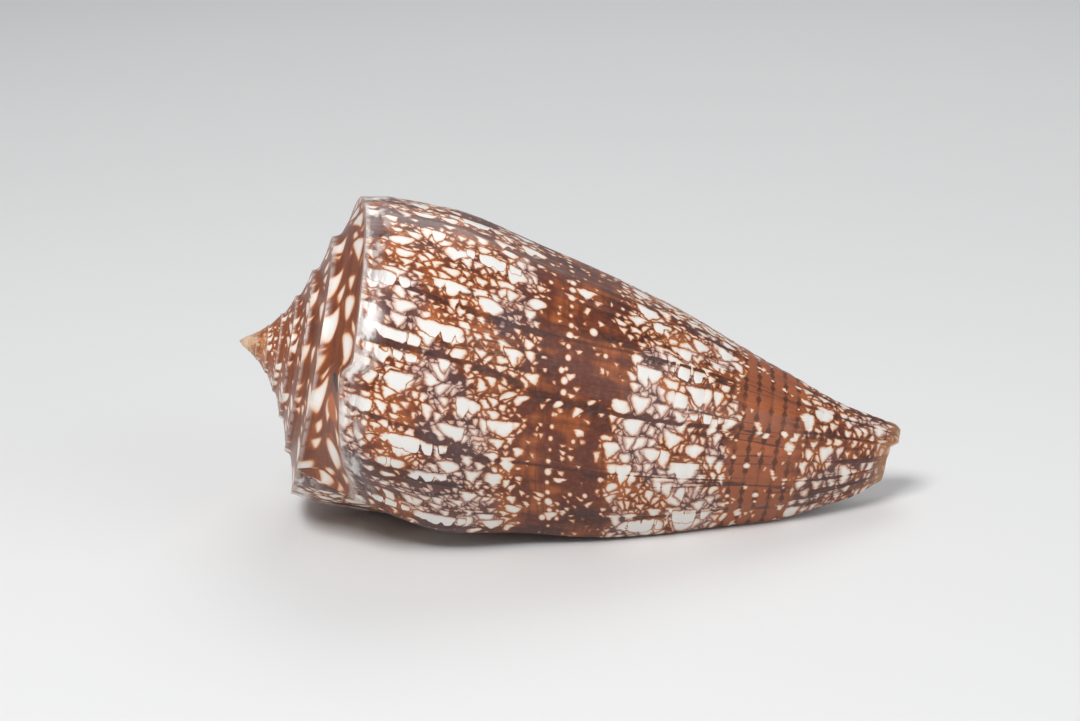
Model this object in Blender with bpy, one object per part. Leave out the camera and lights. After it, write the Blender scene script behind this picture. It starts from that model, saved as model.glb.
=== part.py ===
"""Cone shell, one solid: a wall coiled about one axis, lying on its lip and its body whorl.

The surface is worked out in the shell's own frame. X is the coiling axis, from the apex at 0 to the
front end. A turn of 0 is the lip, and whole turns count back from it towards the apex. At each turn the
keel is the shoulder's edge. Behind it a ramp runs in to the whorl before, and in front of it the body
runs down to the front end.
"""
from math import cos, exp, pi, radians, sin

import bmesh
import bpy
import numpy as np
from mathutils import Matrix, Vector

MM = 0.001

# Driving dimensions, in millimetres and turns
LENGTH = 80.0
SHOULDER_RADIUS = 21.0              # of the keel at the lip, before it draws in
WHORLS = 7
GROWTH = (0.273, 0.025)             # the radius falls off as exp(a * turn - b * turn squared)
SPIRE_SLOPE = 0.361                 # axial rise of the keel for each millimetre of radius
TIP_HEIGHT, TIP_RADIUS = 3.9, 2.2   # the drawn-out tip of the spire
TIP_BLUNT = 0.5                     # how far the very tip is rounded off
LIP_SAG = 2.3                       # the keel slides forward over the last half turn
LIP_DIP = 2.5                       # and dips once more just before the lip
KEEL_FADE = 2.8                     # the shoulder draws in over the same stretch
SCAR_TURN, SCAR_STEP = -0.140, 1.2  # a healed break, where the keel jumps back
SCAR_WIDTH = 0.012                  # turns over which it does so
CHANNEL = 0.13                      # depth of the ramp's channel, as a share of its width
CHANNEL_RISE, CHANNEL_FALL = 0.05, 0.7  # how steeply the channel starts at the suture, and its shape beyond
FRONT_TRIM = 1.7                    # how far the lip's front corner falls short of the front end
LIP_FLARE, FLARE_PLACE = 5.0, 3.8   # the lip's swelling towards the front
LIP_HOLLOW = 1.4                    # and how far it draws in behind that
INNER_SLIM = 0.07                   # how much slimmer the body is where the aperture faces it
SHOULDER_REACH = 0.15               # share of the body over which the shoulder's own shape dies away
FRONT_START, FRONT_LIP = 0.4, 4.6   # radius of the front end one turn back and at the lip
FRONT_POWER = 6                     # how late along the body that radius makes itself felt
FRONT_HOLLOW = 1.0                  # depth of the dimple in the front end
CANAL_LEAN = (-3.6, 2.3)            # sideways drift of the front end
LEAN_START, LEAN_LENGTH = 15.0, 65.0
LEAN_LIMIT = 1.1                    # the drift stops growing this share of the way
BODY_LEAD, RAMP_LAG = 5.0, 8.0      # degrees by which a growth line leads on the body, lags on the ramp
LEAD_REACH = 0.13                   # share of the body over which the lead builds up
LEAD_LOSS = 0.5                     # share of the lead that is lost again at the front end
GROOVES, GROOVE_DEPTH = 9, 0.16     # spiral grooves round the front third

# The hollow
WALL, LIP_WALL, INNER_WALL = 1.5, 0.9, 0.15
LUMEN_TURNS = 1.9                   # how far back it reaches
LUMEN_PAST = 0.035                  # turns by which the cut runs on past the lip
LUMEN_REACH = 0.66                  # share of the body that it fills
LUMEN_OPENING = 0.40                # and how much more it fills at the lip
LUMEN_GAP = 0.3                     # the least height between its roof and its floor
OUTER_SETBACK, INNER_SETBACK = 1.2, 1.8  # its distance from the keels in front and behind, in walls

# Stretches of the last whorl over which the changes above come in, in turns from the lip
SAG_SPAN = (-0.6, 0.05)
DIP_SPAN = (-0.15, 0.0)
FADE_SPAN = (-0.11, 0.0)
HEALED_SPAN = (-0.07, -0.01)
TRIM_SPAN = (-0.5, 0.05)
FRONT_SPAN = (-1.0, 0.05)
FLARE_SPAN = (-0.55, 0.0)
HOLLOW_SPAN = (-0.3, 0.0)
SLIM_SPAN = (-0.86, -1.0)
WALL_SPAN = (-0.25, 0.0)
OPENING_SPAN = (-0.42, -0.02)

# Stretch of the body over which the lead is lost, in shares of its length
LEAD_LOSS_SPAN = (0.85, 1.0)

# The body's outline: share of its length from the keel, share of the keel's radius
BODY_OUTLINE = ((0.0, 1.0), (0.045, 1.035), (0.13, 1.04), (0.32, 0.908), (0.54, 0.685), (0.76, 0.322),
                (0.90, 0.078), (1.0, 0.0))
KEEL_FLARE = 1.5                    # the outline leaves the keel this much steeper than to its next point

# The pose in which the shell lies, before it settles
POSE_YAW, POSE_PITCH, POSE_ROLL = radians(3.0), radians(12.0), radians(130.0)

WELD = 1e-7                         # metres within which points are one
SHARP_EDGE = radians(35)            # edges beyond this angle aren't shaded smooth

# Facets
STEPS = 48                          # to the turn
RAMP_ROWS = 5
BACK_ROWS = 11                      # body rows behind the first groove
BACK_CROWDING, LUMEN_CROWDING = 1.3, 1.15   # powers that crowd the rows towards the keel
FIRST_GROOVE, LAST_GROOVE = 0.60, 0.965
LUMEN_ROWS = 6


def ease(span, x):
    """Smooth step from 0 at the start of a span to 1 at its end."""
    start, end = span
    share = np.clip((x - start) / (end - start), 0.0, 1.0)
    return share * share * (3.0 - 2.0 * share)


def outline(share):
    """Radius of the body as a share of the keel's, by a smooth monotone curve through BODY_OUTLINE."""
    places, radii = np.array(BODY_OUTLINE).T
    widths = np.diff(places)
    rises = np.diff(radii) / widths
    slopes = np.zeros_like(radii)
    for i in range(1, len(places) - 1):
        if rises[i - 1] * rises[i] > 0:
            before = 2 * widths[i] + widths[i - 1]
            after = widths[i] + 2 * widths[i - 1]
            slopes[i] = (before + after) / (before / rises[i - 1] + after / rises[i])
    slopes[0], slopes[-1] = KEEL_FLARE * rises[0], rises[-1]
    i = np.clip(np.searchsorted(places, share) - 1, 0, len(places) - 2)
    s = (share - places[i]) / widths[i]
    return ((2 * s**3 - 3 * s**2 + 1) * radii[i] + (s**3 - 2 * s**2 + s) * widths[i] * slopes[i]
            + (3 * s**2 - 2 * s**3) * radii[i + 1] + (s**3 - s**2) * widths[i] * slopes[i + 1])


def coil_radius(turn):
    rate, fade = GROWTH
    return SHOULDER_RADIUS * np.exp(rate * turn - fade * np.minimum(turn, 0.0) ** 2)


def drawn_in(turn):
    """How far the shoulder draws in towards the axis, just before the lip."""
    return KEEL_FADE * ease(FADE_SPAN, turn)


def keel_radius(turn):
    return coil_radius(turn) - drawn_in(turn)


def keel_place(turn):
    """Distance of the keel from the apex along the axis."""
    radius = coil_radius(turn)
    spire = SPIRE_SLOPE * radius + TIP_HEIGHT * (1.0 - np.exp(-radius / TIP_RADIUS))
    step_span = (SCAR_TURN - SCAR_WIDTH, SCAR_TURN)
    scar = SCAR_STEP * ease(step_span, turn) * (1.0 - ease(HEALED_SPAN, turn))
    return spire + LIP_SAG * ease(SAG_SPAN, turn) + LIP_DIP * ease(DIP_SPAN, turn) - scar


def body_end(turn):
    return LENGTH - FRONT_TRIM * ease(TRIM_SPAN, turn)


def body(turn, share):
    """Radius and place of the body, share running from the keel at 0 to the front end at 1."""
    start = keel_place(turn)
    front = FRONT_START + (FRONT_LIP - FRONT_START) * ease(FRONT_SPAN, turn)
    flare = LIP_FLARE * np.sin(pi * np.clip(share, 0, 1) ** FLARE_PLACE) * ease(FLARE_SPAN, turn)
    hollow = LIP_HOLLOW * np.sin(pi * np.clip(2 * share, 0, 1)) ** 2 * ease(HOLLOW_SPAN, turn)
    reach = np.exp(-((share / SHOULDER_REACH) ** 2))
    slim = 1.0 - INNER_SLIM * ease(SLIM_SPAN, turn) * (1.0 - reach)
    coil = (coil_radius(turn) - drawn_in(turn) * reach) * outline(share) * slim
    return coil + front * share**FRONT_POWER + flare - hollow, start + share * (body_end(turn) - start)


def body_radius_at(turn, place):
    start = keel_place(turn)
    share = np.clip((place - start) / (body_end(turn) - start), 0.0, 1.0)
    return body(turn, share)[0]


def ramp(turn, share):
    """Radius and place of the ramp, share running from the whorl before at 0 to the keel at 1."""
    inner, outer = keel_radius(turn - 1), keel_radius(turn)
    depth = CHANNEL * (outer - inner)
    channel = depth * (1.0 - np.exp(-share / CHANNEL_RISE)) * (1.0 - share) ** CHANNEL_FALL
    place = keel_place(turn - 1) * (1.0 - share) + keel_place(turn) * share
    return inner + (outer - inner) * share, place + channel


def body_lead(share):
    """Turns by which a growth line on the body runs ahead of its start at the keel."""
    lead = BODY_LEAD / 360 * (1.0 - np.exp(-share / LEAD_REACH))
    return lead * (1.0 - LEAD_LOSS * ease(LEAD_LOSS_SPAN, share))


def point(turn, radius, place):
    """A point of the shell in metres, leaning sideways towards the front end."""
    drift = np.clip((place - LEAN_START) / LEAN_LENGTH, 0.0, LEAN_LIMIT) ** 2
    angle = 2 * pi * turn
    return Vector((place,
                   radius * cos(angle) + CANAL_LEAN[0] * drift,
                   radius * sin(angle) + CANAL_LEAN[1] * drift)) * MM


def add_rows(mesh, rows):
    """Join rows of points, each as long as the next, with faces."""
    rows = [[mesh.verts.new(p) for p in row] for row in rows]
    for low, high in zip(rows, rows[1:]):
        for i in range(len(low) - 1):
            mesh.faces.new((low[i], low[i + 1], high[i + 1], high[i]))


def add_fan(mesh, centre, rim):
    """Close an open rim with triangles to a centre."""
    hub = mesh.verts.new(centre)
    rim = [mesh.verts.new(p) for p in rim]
    for here, there in zip(rim, rim[1:] + rim[:1]):
        mesh.faces.new((hub, here, there))


def finish(mesh, name, collection):
    """Weld a hand-made surface, point its faces outwards and put it in a collection."""
    bmesh.ops.remove_doubles(mesh, verts=mesh.verts, dist=WELD)
    bmesh.ops.dissolve_degenerate(mesh, edges=mesh.edges, dist=WELD)
    bmesh.ops.recalc_face_normals(mesh, faces=mesh.faces)
    data = bpy.data.meshes.new(name)
    mesh.to_mesh(data)
    mesh.free()
    made = bpy.data.objects.new(name, data)
    collection.objects.link(made)
    return made


def body_shares():
    """Rows of the body: evenly spaced behind the grooves, then a crest and a floor for each groove."""
    back = FIRST_GROOVE * (np.arange(BACK_ROWS) / BACK_ROWS) ** BACK_CROWDING
    grooved = np.linspace(FIRST_GROOVE, LAST_GROOVE, 2 * GROOVES + 1)
    return list(back) + list(grooved) + [1.0]


def groove_cut(share):
    """Depth of the grooves at a row: full at each second row, between the first groove and the last."""
    pitch = (LAST_GROOVE - FIRST_GROOVE) / GROOVES
    within = (share > FIRST_GROOVE) & (share < LAST_GROOVE)
    wave = np.abs(np.sin(pi * (share - FIRST_GROOVE) / pitch))
    return GROOVE_DEPTH * wave * within


def body_point(turn, share):
    radius, place = body(turn, share)
    return point(turn, radius - groove_cut(share), place)


def outer_shell(collection):
    """The whole shell with its aperture closed by a straight wall from the lip to the whorl before."""
    mesh = bmesh.new()
    ramp_shares = np.linspace(0, 1, RAMP_ROWS + 1)
    lags = -RAMP_LAG / 360 * np.sin(pi * ramp_shares)
    spire_turns = [i / STEPS - WHORLS for i in range(WHORLS * STEPS + 1)]
    spire = [[point(t + lag, *ramp(t + lag, share)) for share, lag in zip(ramp_shares, lags)]
             for t in spire_turns]
    add_rows(mesh, spire)

    shares = body_shares()
    leads = [body_lead(share) for share in shares]
    last_turn = [i / STEPS - 1 for i in range(STEPS + 1)]
    whorl = [[body_point(t + lead, share) for share, lead in zip(shares, leads)] for t in last_turn]
    add_rows(mesh, whorl)

    add_rows(mesh, [whorl[0], whorl[-1]])
    suture = spire[-1][0]
    shoulder = [mesh.verts.new(p) for p in spire[-1]]
    for i in range(1, RAMP_ROWS):
        mesh.faces.new((shoulder[0], shoulder[i], shoulder[i + 1]))

    first_spiral = [point(t - 1, keel_radius(t - 1), keel_place(t - 1)) for t in spire_turns[:STEPS + 1]]
    add_fan(mesh, point(0, 0, TIP_BLUNT), first_spiral + spire[0][:0:-1])
    add_fan(mesh, point(0, 0, body_end(-0.5) - FRONT_HOLLOW), [row[-1] for row in whorl])
    return finish(mesh, "shell", collection)


def lumen_ring(turn):
    """Outline of the hollow at one turn: out along the ramp, forward inside the outer wall, back
    along the whorl before."""
    wall = WALL + (LIP_WALL - WALL) * ease(WALL_SPAN, turn)
    reach = LUMEN_REACH + LUMEN_OPENING * ease(OPENING_SPAN, turn)
    start = keel_place(turn)
    front = start + reach * (body_end(turn) - start)
    shares = np.linspace(0, 1, LUMEN_ROWS) ** LUMEN_CROWDING
    lead = [body_lead(s * reach) for s in shares]

    outer_start = start + OUTER_SETBACK * wall
    inner_start = keel_place(turn - 1) + INNER_SETBACK * wall
    outer_places = outer_start + shares * (front - outer_start)
    inner_places = inner_start + shares * (front - inner_start)
    ring = []
    for place, ahead in zip(outer_places, lead):
        here = turn + ahead
        roof = body_radius_at(here, place) - wall
        floor = body_radius_at(here - 1, place) + INNER_WALL
        ring.append(point(here, max(roof, floor + LUMEN_GAP), place))
    for place, ahead in list(zip(inner_places, lead))[::-1]:
        here = turn + ahead
        ring.append(point(here, body_radius_at(here - 1, place) + INNER_WALL, place))
    return ring


def lumen(collection):
    """The hollow that is cut out: a tube coiled up from beyond the lip, closed at its inner end."""
    mesh = bmesh.new()
    first, last = -LUMEN_TURNS, LUMEN_PAST
    count = round((last - first) * STEPS)
    rings = [lumen_ring(first + (last - first) * i / count) for i in range(count + 1)]
    add_rows(mesh, [ring + ring[:1] for ring in rings])
    for ring in (rings[0], rings[-1]):
        add_rows(mesh, [ring[:LUMEN_ROWS], ring[:LUMEN_ROWS - 1:-1]])
    cutter = finish(mesh, "lumen_cutter", collection)
    cutter.hide_render = True
    cutter.display_type = "WIRE"
    return cutter


def hollow_out(shell, cutter):
    """Cut the hollow and keep the result as the shell's own mesh."""
    cut = shell.modifiers.new("Hollow", "BOOLEAN")
    cut.operation = "DIFFERENCE"
    cut.object = cutter
    cut.solver = "EXACT"
    bpy.context.view_layer.update()
    evaluated = shell.evaluated_get(bpy.context.evaluated_depsgraph_get())
    data = bpy.data.meshes.new_from_object(evaluated)
    shell.modifiers.clear()
    shell.data = data


def centre_of_mass(data):
    data.calc_loop_triangles()
    corners = np.array([[data.vertices[i].co for i in tri.vertices] for tri in data.loop_triangles])
    volumes = np.einsum("ij,ij->i", corners[:, 0], np.cross(corners[:, 1], corners[:, 2])) / 6
    return Vector(np.einsum("i,ij->j", volumes, corners.sum(axis=1) / 4) / volumes.sum())


def resting_pose(data):
    """The rotation in which the shell lies still, nearest to the pose in the constants.

    It rests on the face of its convex hull that is nearest to level among those its centre of mass
    stands over.
    """
    upright = Matrix(((1, 0, 0), (0, 0, -1), (0, 1, 0))).to_4x4()
    posed = (Matrix.Rotation(POSE_YAW, 4, "Z") @ Matrix.Rotation(POSE_PITCH, 4, "Y")
             @ upright @ Matrix.Rotation(POSE_ROLL, 4, "X"))
    middle = posed @ centre_of_mass(data)
    hull = bmesh.new()
    hull.from_mesh(data)
    hull.transform(posed)
    made = bmesh.ops.convex_hull(hull, input=hull.verts)["geom"]
    faces = [f for f in made if isinstance(f, bmesh.types.BMFace)]
    best = None
    for face in faces:
        normal = face.normal
        if normal.dot(face.calc_center_median() - middle) < 0:
            normal = -normal
        foot = middle + normal * normal.dot(face.verts[0].co - middle)
        sides = [(face.verts[i].co, face.verts[(i + 1) % 3].co) for i in range(3)]
        turns = [normal.dot((b - a).cross(foot - a)) for a, b in sides]
        steady = min(turns) > 0 or max(turns) < 0
        if steady and (best is None or normal.z < best.z):
            best = normal.copy()
    hull.free()
    settle = best.rotation_difference(Vector((0, 0, -1))).to_matrix().to_4x4()
    return settle @ posed


def stand_on_ground(shell):
    """Lay the shell down, with its origin at the bottom centre of its bounding box."""
    shell.data.transform(resting_pose(shell.data))
    points = np.array([v.co for v in shell.data.vertices])
    low, high = points.min(axis=0), points.max(axis=0)
    shell.data.transform(Matrix.Translation((-(low[0] + high[0]) / 2, -(low[1] + high[1]) / 2, -low[2])))


def shell_material():
    material = bpy.data.materials.new("shell")
    material.use_nodes = True
    surface = material.node_tree.nodes["Principled BSDF"]
    surface.inputs["Base Color"].default_value = (0.42, 0.18, 0.10, 1.0)
    surface.inputs["Roughness"].default_value = 0.25
    surface.inputs["Metallic"].default_value = 0.0
    return material


def clear_scene():
    for item in list(bpy.data.objects):
        bpy.data.objects.remove(item, do_unlink=True)


def new_collection(name):
    collection = bpy.data.collections.new(name)
    bpy.context.scene.collection.children.link(collection)
    return collection


def main():
    clear_scene()
    parts = new_collection("cone_shell")
    cutters = new_collection("cutters")
    shell = outer_shell(parts)
    cutter = lumen(cutters)
    hollow_out(shell, cutter)
    stand_on_ground(shell)
    shell.data.materials.clear()
    shell.data.materials.append(shell_material())
    shell.data.shade_smooth()
    shell.data.set_sharp_from_angle(angle=SHARP_EDGE)


main()
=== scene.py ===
from math import cos, pi, radians, sin

import bpy
import numpy as np
from mathutils import Matrix, Vector


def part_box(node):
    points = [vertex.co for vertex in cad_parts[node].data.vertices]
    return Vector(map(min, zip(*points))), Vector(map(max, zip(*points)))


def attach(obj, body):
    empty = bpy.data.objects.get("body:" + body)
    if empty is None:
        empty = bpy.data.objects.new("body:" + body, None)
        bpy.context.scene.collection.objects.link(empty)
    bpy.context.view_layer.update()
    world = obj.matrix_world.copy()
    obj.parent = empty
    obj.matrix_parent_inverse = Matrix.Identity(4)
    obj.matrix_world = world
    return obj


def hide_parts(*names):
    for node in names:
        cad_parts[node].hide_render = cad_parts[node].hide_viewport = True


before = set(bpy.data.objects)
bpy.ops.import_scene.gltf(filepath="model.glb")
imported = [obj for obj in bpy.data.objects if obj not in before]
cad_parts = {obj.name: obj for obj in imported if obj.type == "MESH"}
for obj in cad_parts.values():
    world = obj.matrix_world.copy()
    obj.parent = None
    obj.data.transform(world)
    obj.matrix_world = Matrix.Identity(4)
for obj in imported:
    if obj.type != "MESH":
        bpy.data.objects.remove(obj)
bpy.context.view_layer.update()

mm = 0.001

# The form of the shell, in millimetres and turns, as in the CAD
form = {
    "length": 80.0,
    "shoulderRadius": 21.0,
    "whorls": 7,
    "growth": (0.273, 0.025),  # radius falls off as exp(a * turn - b * turn squared)
    "spireSlope": 0.361,
    "tipHeight": 3.9,
    "tipRadius": 2.2,
    "tipBlunt": 0.5,
    "lipSag": 2.3,
    "lipDip": 2.5,
    "keelFade": 2.8,
    "scarTurn": -0.140,
    "scarStep": 1.2,
    "scarWidth": 0.012,
    "channel": 0.13,  # depth of the ramp's channel, as a share of its width
    "channelRise": 0.05,
    "channelFall": 0.7,
    "frontTrim": 1.7,
    "lipFlare": 5.0,
    "flarePlace": 3.8,
    "lipHollow": 1.4,
    "innerSlim": 0.07,
    "shoulderReach": 0.15,  # share of the body over which the shoulder's own shape dies away
    "frontStart": 0.4,
    "frontLip": 4.6,
    "frontPower": 6,
    "canalLean": (-3.6, 2.3),
    "leanStart": 15.0,
    "leanLength": 65.0,
    "leanLimit": 1.1,
    "bodyLead": 5.0,  # degrees by which a growth line leads on the body and lags on the ramp
    "rampLag": 8.0,
    "leadReach": 0.13,
    "leadLoss": 0.5,
    "leadLossSpan": (0.85, 1.0),
    "wall": 1.5,
    "lipWall": 0.9,
    "innerWall": 0.15,
    "lumenTurns": 1.9,  # the hollow: how far back it reaches, and on past the lip
    "lumenPast": 0.035,
    "lumenReach": 0.66,  # share of the body that it fills, and how much more at the lip
    "lumenOpening": 0.40,
    "lumenGap": 0.3,
    "outerSetback": 1.2,  # distance from the keels in front and behind, in walls
    "innerSetback": 1.8,
    "keelFlare": 1.5,  # the outline leaves the keel this much steeper than to its next point
    "bodyOutline": ((0.0, 1.0), (0.045, 1.035), (0.13, 1.04), (0.32, 0.908), (0.54, 0.685), (0.76, 0.322),
                    (0.90, 0.078), (1.0, 0.0)),
}

# Stretches of the last whorl over which its changes come in, in turns from the lip
whorlSpans = {
    "sag": (-0.6, 0.05),
    "dip": (-0.15, 0.0),
    "fade": (-0.11, 0.0),
    "healed": (-0.07, -0.01),
    "trim": (-0.5, 0.05),
    "front": (-1.0, 0.05),
    "flare": (-0.55, 0.0),
    "hollow": (-0.3, 0.0),
    "slim": (-0.86, -1.0),
    "wall": (-0.25, 0.0),
    "opening": (-0.42, -0.02),
    "notch": (-0.195, -0.168),
    "notchFade": (-0.16, 0.0),
    "core": (-0.50, -0.66),
    "knob": (-0.26, -0.18),
}

# Relief that only the visual model has
relief = {
    "stepsPerTurn": 192,
    "lumenSteps": 120,  # to the turn
    "lumenRows": 22,
    "lumenCrowding": 1.15,  # a power that crowds the rows towards the keel
    "smoothWhorl": 0.6,  # turns over which the growth lines settle at the tip
    "keelBead": 0.22,  # height of the rounded bead on the keel
    "beadWidth": 0.55,
    "beadFill": 0.7,
    "smallestBead": 0.1,
    "beadReach": 65.0,  # millimetres along the body
    "edgeFade": (0.0, 0.05),  # the body's relief comes in over this share of its length
    "lipFade": (0.0, 0.03),
    "wavesEnd": (0.93, 1.0),
    "grooveStart": 0.4065,  # spiral grooves, share of the body's length
    "grooveEnd": 0.9815,
    "grooves": 22,
    "grooveDepth": 0.07,
    "grooveRows": 6,
    "grooveFade": 0.2,
    "keelRows": (0, 0.003, 0.006, 0.010, 0.015, 0.022, 0.031, 0.042, 0.055, 0.07),
    "backRows": (0.08, 36),  # the first, and how many
    "frontDish": 1.0,
    "dishAside": 0.6,  # the dimple's middle lies a little under the lip
    "dishTurn": -0.25,
    "frontRows": (0.986, 0.991, 0.995, 0.998, 1.0),
    "knobStart": 0.984,  # the front end is rounded off beyond this share of the body
    "knobRound": 0.15,
    "notch": 1.1,  # the lip's front corner steps back behind the knob
    "notchLoss": 0.65,  # share of the step that is made up again at the lip
    "coreBack": 1.4,  # the core's front end is drawn in, out of sight
    "pullStart": 0.93,  # both come in beyond this share of the body
    "lipRound": 0.32,  # the lip's edge is rounded off by this much
    "lipRoundTurns": 0.004,
    "lipColumns": (1.1, 0.7, 0.4, 0.15, 0.0),
    "lastEven": 1.6,  # the even columns stop this many roundings before the lip
    # how many to the turn, height, phase
    "growthWaves": ((9, 0.045, 0.3), (16, 0.035, 1.9), (27, 0.028, 4.1), (41, 0.02, 2.2)),
    "weld": 2e-7,  # metres within which points are one
    "sharpEdge": 40,  # degrees
}

# How the shell lies, in degrees, and how it settled on the floor
shellPose = {
    "yaw": 3.0,
    "pitch": 12.0,
    "roll": 130.0,
    "settle": 0.637,
    "settleAxis": (-0.958, -0.289, 0.0),
}


def ease(start, end, x):
    share = np.clip((x - start) / (end - start), 0.0, 1.0)
    return share * share * (3.0 - 2.0 * share)


def grownIn(name, turn):  # 0 before a stretch of the last whorl, 1 after it
    return ease(*whorlSpans[name], turn)


def outlineAt(share):  # the body's radius as a share of the keel's
    places, radii = np.array(form["bodyOutline"]).T
    widths = np.diff(places)
    rises = np.diff(radii) / widths
    slopes = np.zeros_like(radii)
    for i in range(1, len(places) - 1):
        if rises[i - 1] * rises[i] > 0:
            before = 2 * widths[i] + widths[i - 1]
            after = widths[i] + 2 * widths[i - 1]
            slopes[i] = (before + after) / (before / rises[i - 1] + after / rises[i])
    slopes[0], slopes[-1] = form["keelFlare"] * rises[0], rises[-1]
    i = np.clip(np.searchsorted(places, share) - 1, 0, len(places) - 2)
    s = (share - places[i]) / widths[i]
    return ((2 * s**3 - 3 * s**2 + 1) * radii[i] + (s**3 - 2 * s**2 + s) * widths[i] * slopes[i]
            + (3 * s**2 - 2 * s**3) * radii[i + 1] + (s**3 - s**2) * widths[i] * slopes[i + 1])


def coilRadius(turn):
    rate, fade = form["growth"]
    return form["shoulderRadius"] * np.exp(rate * turn - fade * np.minimum(turn, 0.0) ** 2)


def drawnIn(turn):
    return form["keelFade"] * grownIn("fade", turn)


def keelRadius(turn):
    return coilRadius(turn) - drawnIn(turn)


def keelPlace(turn):
    radius, jump = coilRadius(turn), form["scarTurn"]
    tip = form["tipHeight"] * (1.0 - np.exp(-radius / form["tipRadius"]))
    spire = form["spireSlope"] * radius + tip
    scar = ease(jump - form["scarWidth"], jump, turn) * (1.0 - grownIn("healed", turn))
    return (spire + form["lipSag"] * grownIn("sag", turn) + form["lipDip"] * grownIn("dip", turn)
            - form["scarStep"] * scar)


def bodyEnd(turn):
    return form["length"] - form["frontTrim"] * grownIn("trim", turn)


def bodyAt(turn, share):  # radius and place of the body whorl
    start = keelPlace(turn)
    first, last = form["frontStart"], form["frontLip"]
    front = (first + (last - first) * grownIn("front", turn)) * share ** form["frontPower"]
    swelling = np.sin(pi * np.clip(share, 0, 1) ** form["flarePlace"])
    flare = form["lipFlare"] * swelling * grownIn("flare", turn)
    dip = np.sin(pi * np.clip(2 * share, 0, 1)) ** 2
    hollow = form["lipHollow"] * dip * grownIn("hollow", turn)
    reach = np.exp(-((share / form["shoulderReach"]) ** 2))
    slim = 1.0 - form["innerSlim"] * grownIn("slim", turn) * (1.0 - reach)
    coil = (coilRadius(turn) - drawnIn(turn) * reach) * outlineAt(share) * slim
    return coil + front + flare - hollow, start + share * (bodyEnd(turn) - start)


def bodyRadiusAt(turn, place):
    start = keelPlace(turn)
    return bodyAt(turn, np.clip((place - start) / (bodyEnd(turn) - start), 0.0, 1.0))[0]


def rampAt(turn, share):  # radius and place of the ramp behind the keel
    inner, outer = keelRadius(turn - 1), keelRadius(turn)
    rise = 1.0 - np.exp(-share / form["channelRise"])
    channel = form["channel"] * (outer - inner) * rise * (1.0 - share) ** form["channelFall"]
    place = keelPlace(turn - 1) * (1.0 - share) + keelPlace(turn) * share + channel
    return inner + (outer - inner) * share, place


def bodyLeadAt(share):  # turns by which a growth line leads
    kept = 1.0 - form["leadLoss"] * ease(*form["leadLossSpan"], share)
    return form["bodyLead"] / 360 * (1.0 - np.exp(-share / form["leadReach"])) * kept


def pointAt(turn, radius, place):  # in metres, with the front end drifting aside
    drifted = (place - form["leanStart"]) / form["leanLength"]
    drift = np.clip(drifted, 0.0, form["leanLimit"]) ** 2
    leanY, leanZ = form["canalLean"]
    return np.stack([place + 0 * turn,
                     radius * np.cos(2 * pi * turn) + leanY * drift,
                     radius * np.sin(2 * pi * turn) + leanZ * drift], -1) * mm


def growthWaves(turn):  # low swellings where growth paused
    return sum(height * np.sin(2 * pi * count * turn + phase)
               for count, height, phase in relief["growthWaves"])


def beadAt(turn, distance):  # the keel's bead, smaller on the small whorls
    size = np.clip(keelRadius(turn) / form["shoulderRadius"], relief["smallestBead"], 1)
    bulge = np.exp(-((distance / size / relief["beadWidth"]) ** 2))
    return relief["beadFill"] * relief["keelBead"] * size * bulge


def turnSteps():  # places of the columns in one turn, closer together at the lip
    rounding, lipColumns = relief["lipRoundTurns"], np.array(relief["lipColumns"])
    evenSteps = relief["stepsPerTurn"] - len(lipColumns) + 1
    even = np.linspace(0, 1 - relief["lastEven"] * rounding, evenSteps)
    return np.concatenate([even, 1 - rounding * lipColumns])


def bodyRows():
    start, end = relief["grooveStart"], relief["grooveEnd"]
    first, count = relief["backRows"]
    backRows = np.linspace(first, start, count)
    grooveRows = np.linspace(start, end, relief["grooveRows"] * relief["grooves"] + 1)[1:]
    return np.concatenate([relief["keelRows"], backRows, grooveRows, relief["frontRows"]])


rampRows = np.array([0, 0.02, 0.05, 0.09, 0.15, 0.25, 0.38, 0.52, 0.66, 0.79, 0.89, 0.95, 0.98, 1.0])


def pulledBack(turn, place):  # the notch between the front end's knob and the lip
    start, end = keelPlace(turn), bodyEnd(turn)
    step = grownIn("notch", turn) * (1 - relief["notchLoss"] * grownIn("notchFade", turn))
    drawn = relief["notch"] * step + relief["coreBack"] * grownIn("core", turn)
    return place - drawn * ease(start + relief["pullStart"] * (end - start), end, place)


def knobAt(turn, share):  # rounds the front end off
    beyond = np.clip((share - relief["knobStart"]) / (1 - relief["knobStart"]), 0, 1)
    return 1 - relief["knobRound"] * beyond**2 * (1 - grownIn("knob", turn))


def grooveAt(share):
    start, end = relief["grooveStart"], relief["grooveEnd"]
    phase = (share - start) / (end - start) * relief["grooves"]
    within = ease(start, start + relief["grooveFade"], share) * (share < end)
    return relief["grooveDepth"] * within * (0.5 - 0.5 * np.cos(2 * pi * phase)) ** 3


def bodyPoint(turn, share):
    grown = turn + bodyLeadAt(share)
    radius, place = bodyAt(grown, share)
    bead = beadAt(turn, share * relief["beadReach"])
    edge = np.clip((turn + relief["lipRoundTurns"]) / relief["lipRoundTurns"], 0, 1)
    rounded = relief["lipRound"] * (1 - np.sqrt(1 - edge**2)) * ease(*relief["lipFade"], share)
    inside = ease(*relief["edgeFade"], share)
    waves = growthWaves(turn) * inside * (1 - ease(*relief["wavesEnd"], share))
    radius = (radius + bead + waves - grooveAt(share)) * knobAt(turn, share) - rounded
    return pointAt(grown, radius, pulledBack(grown, place - bead * (1 - inside)))


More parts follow.
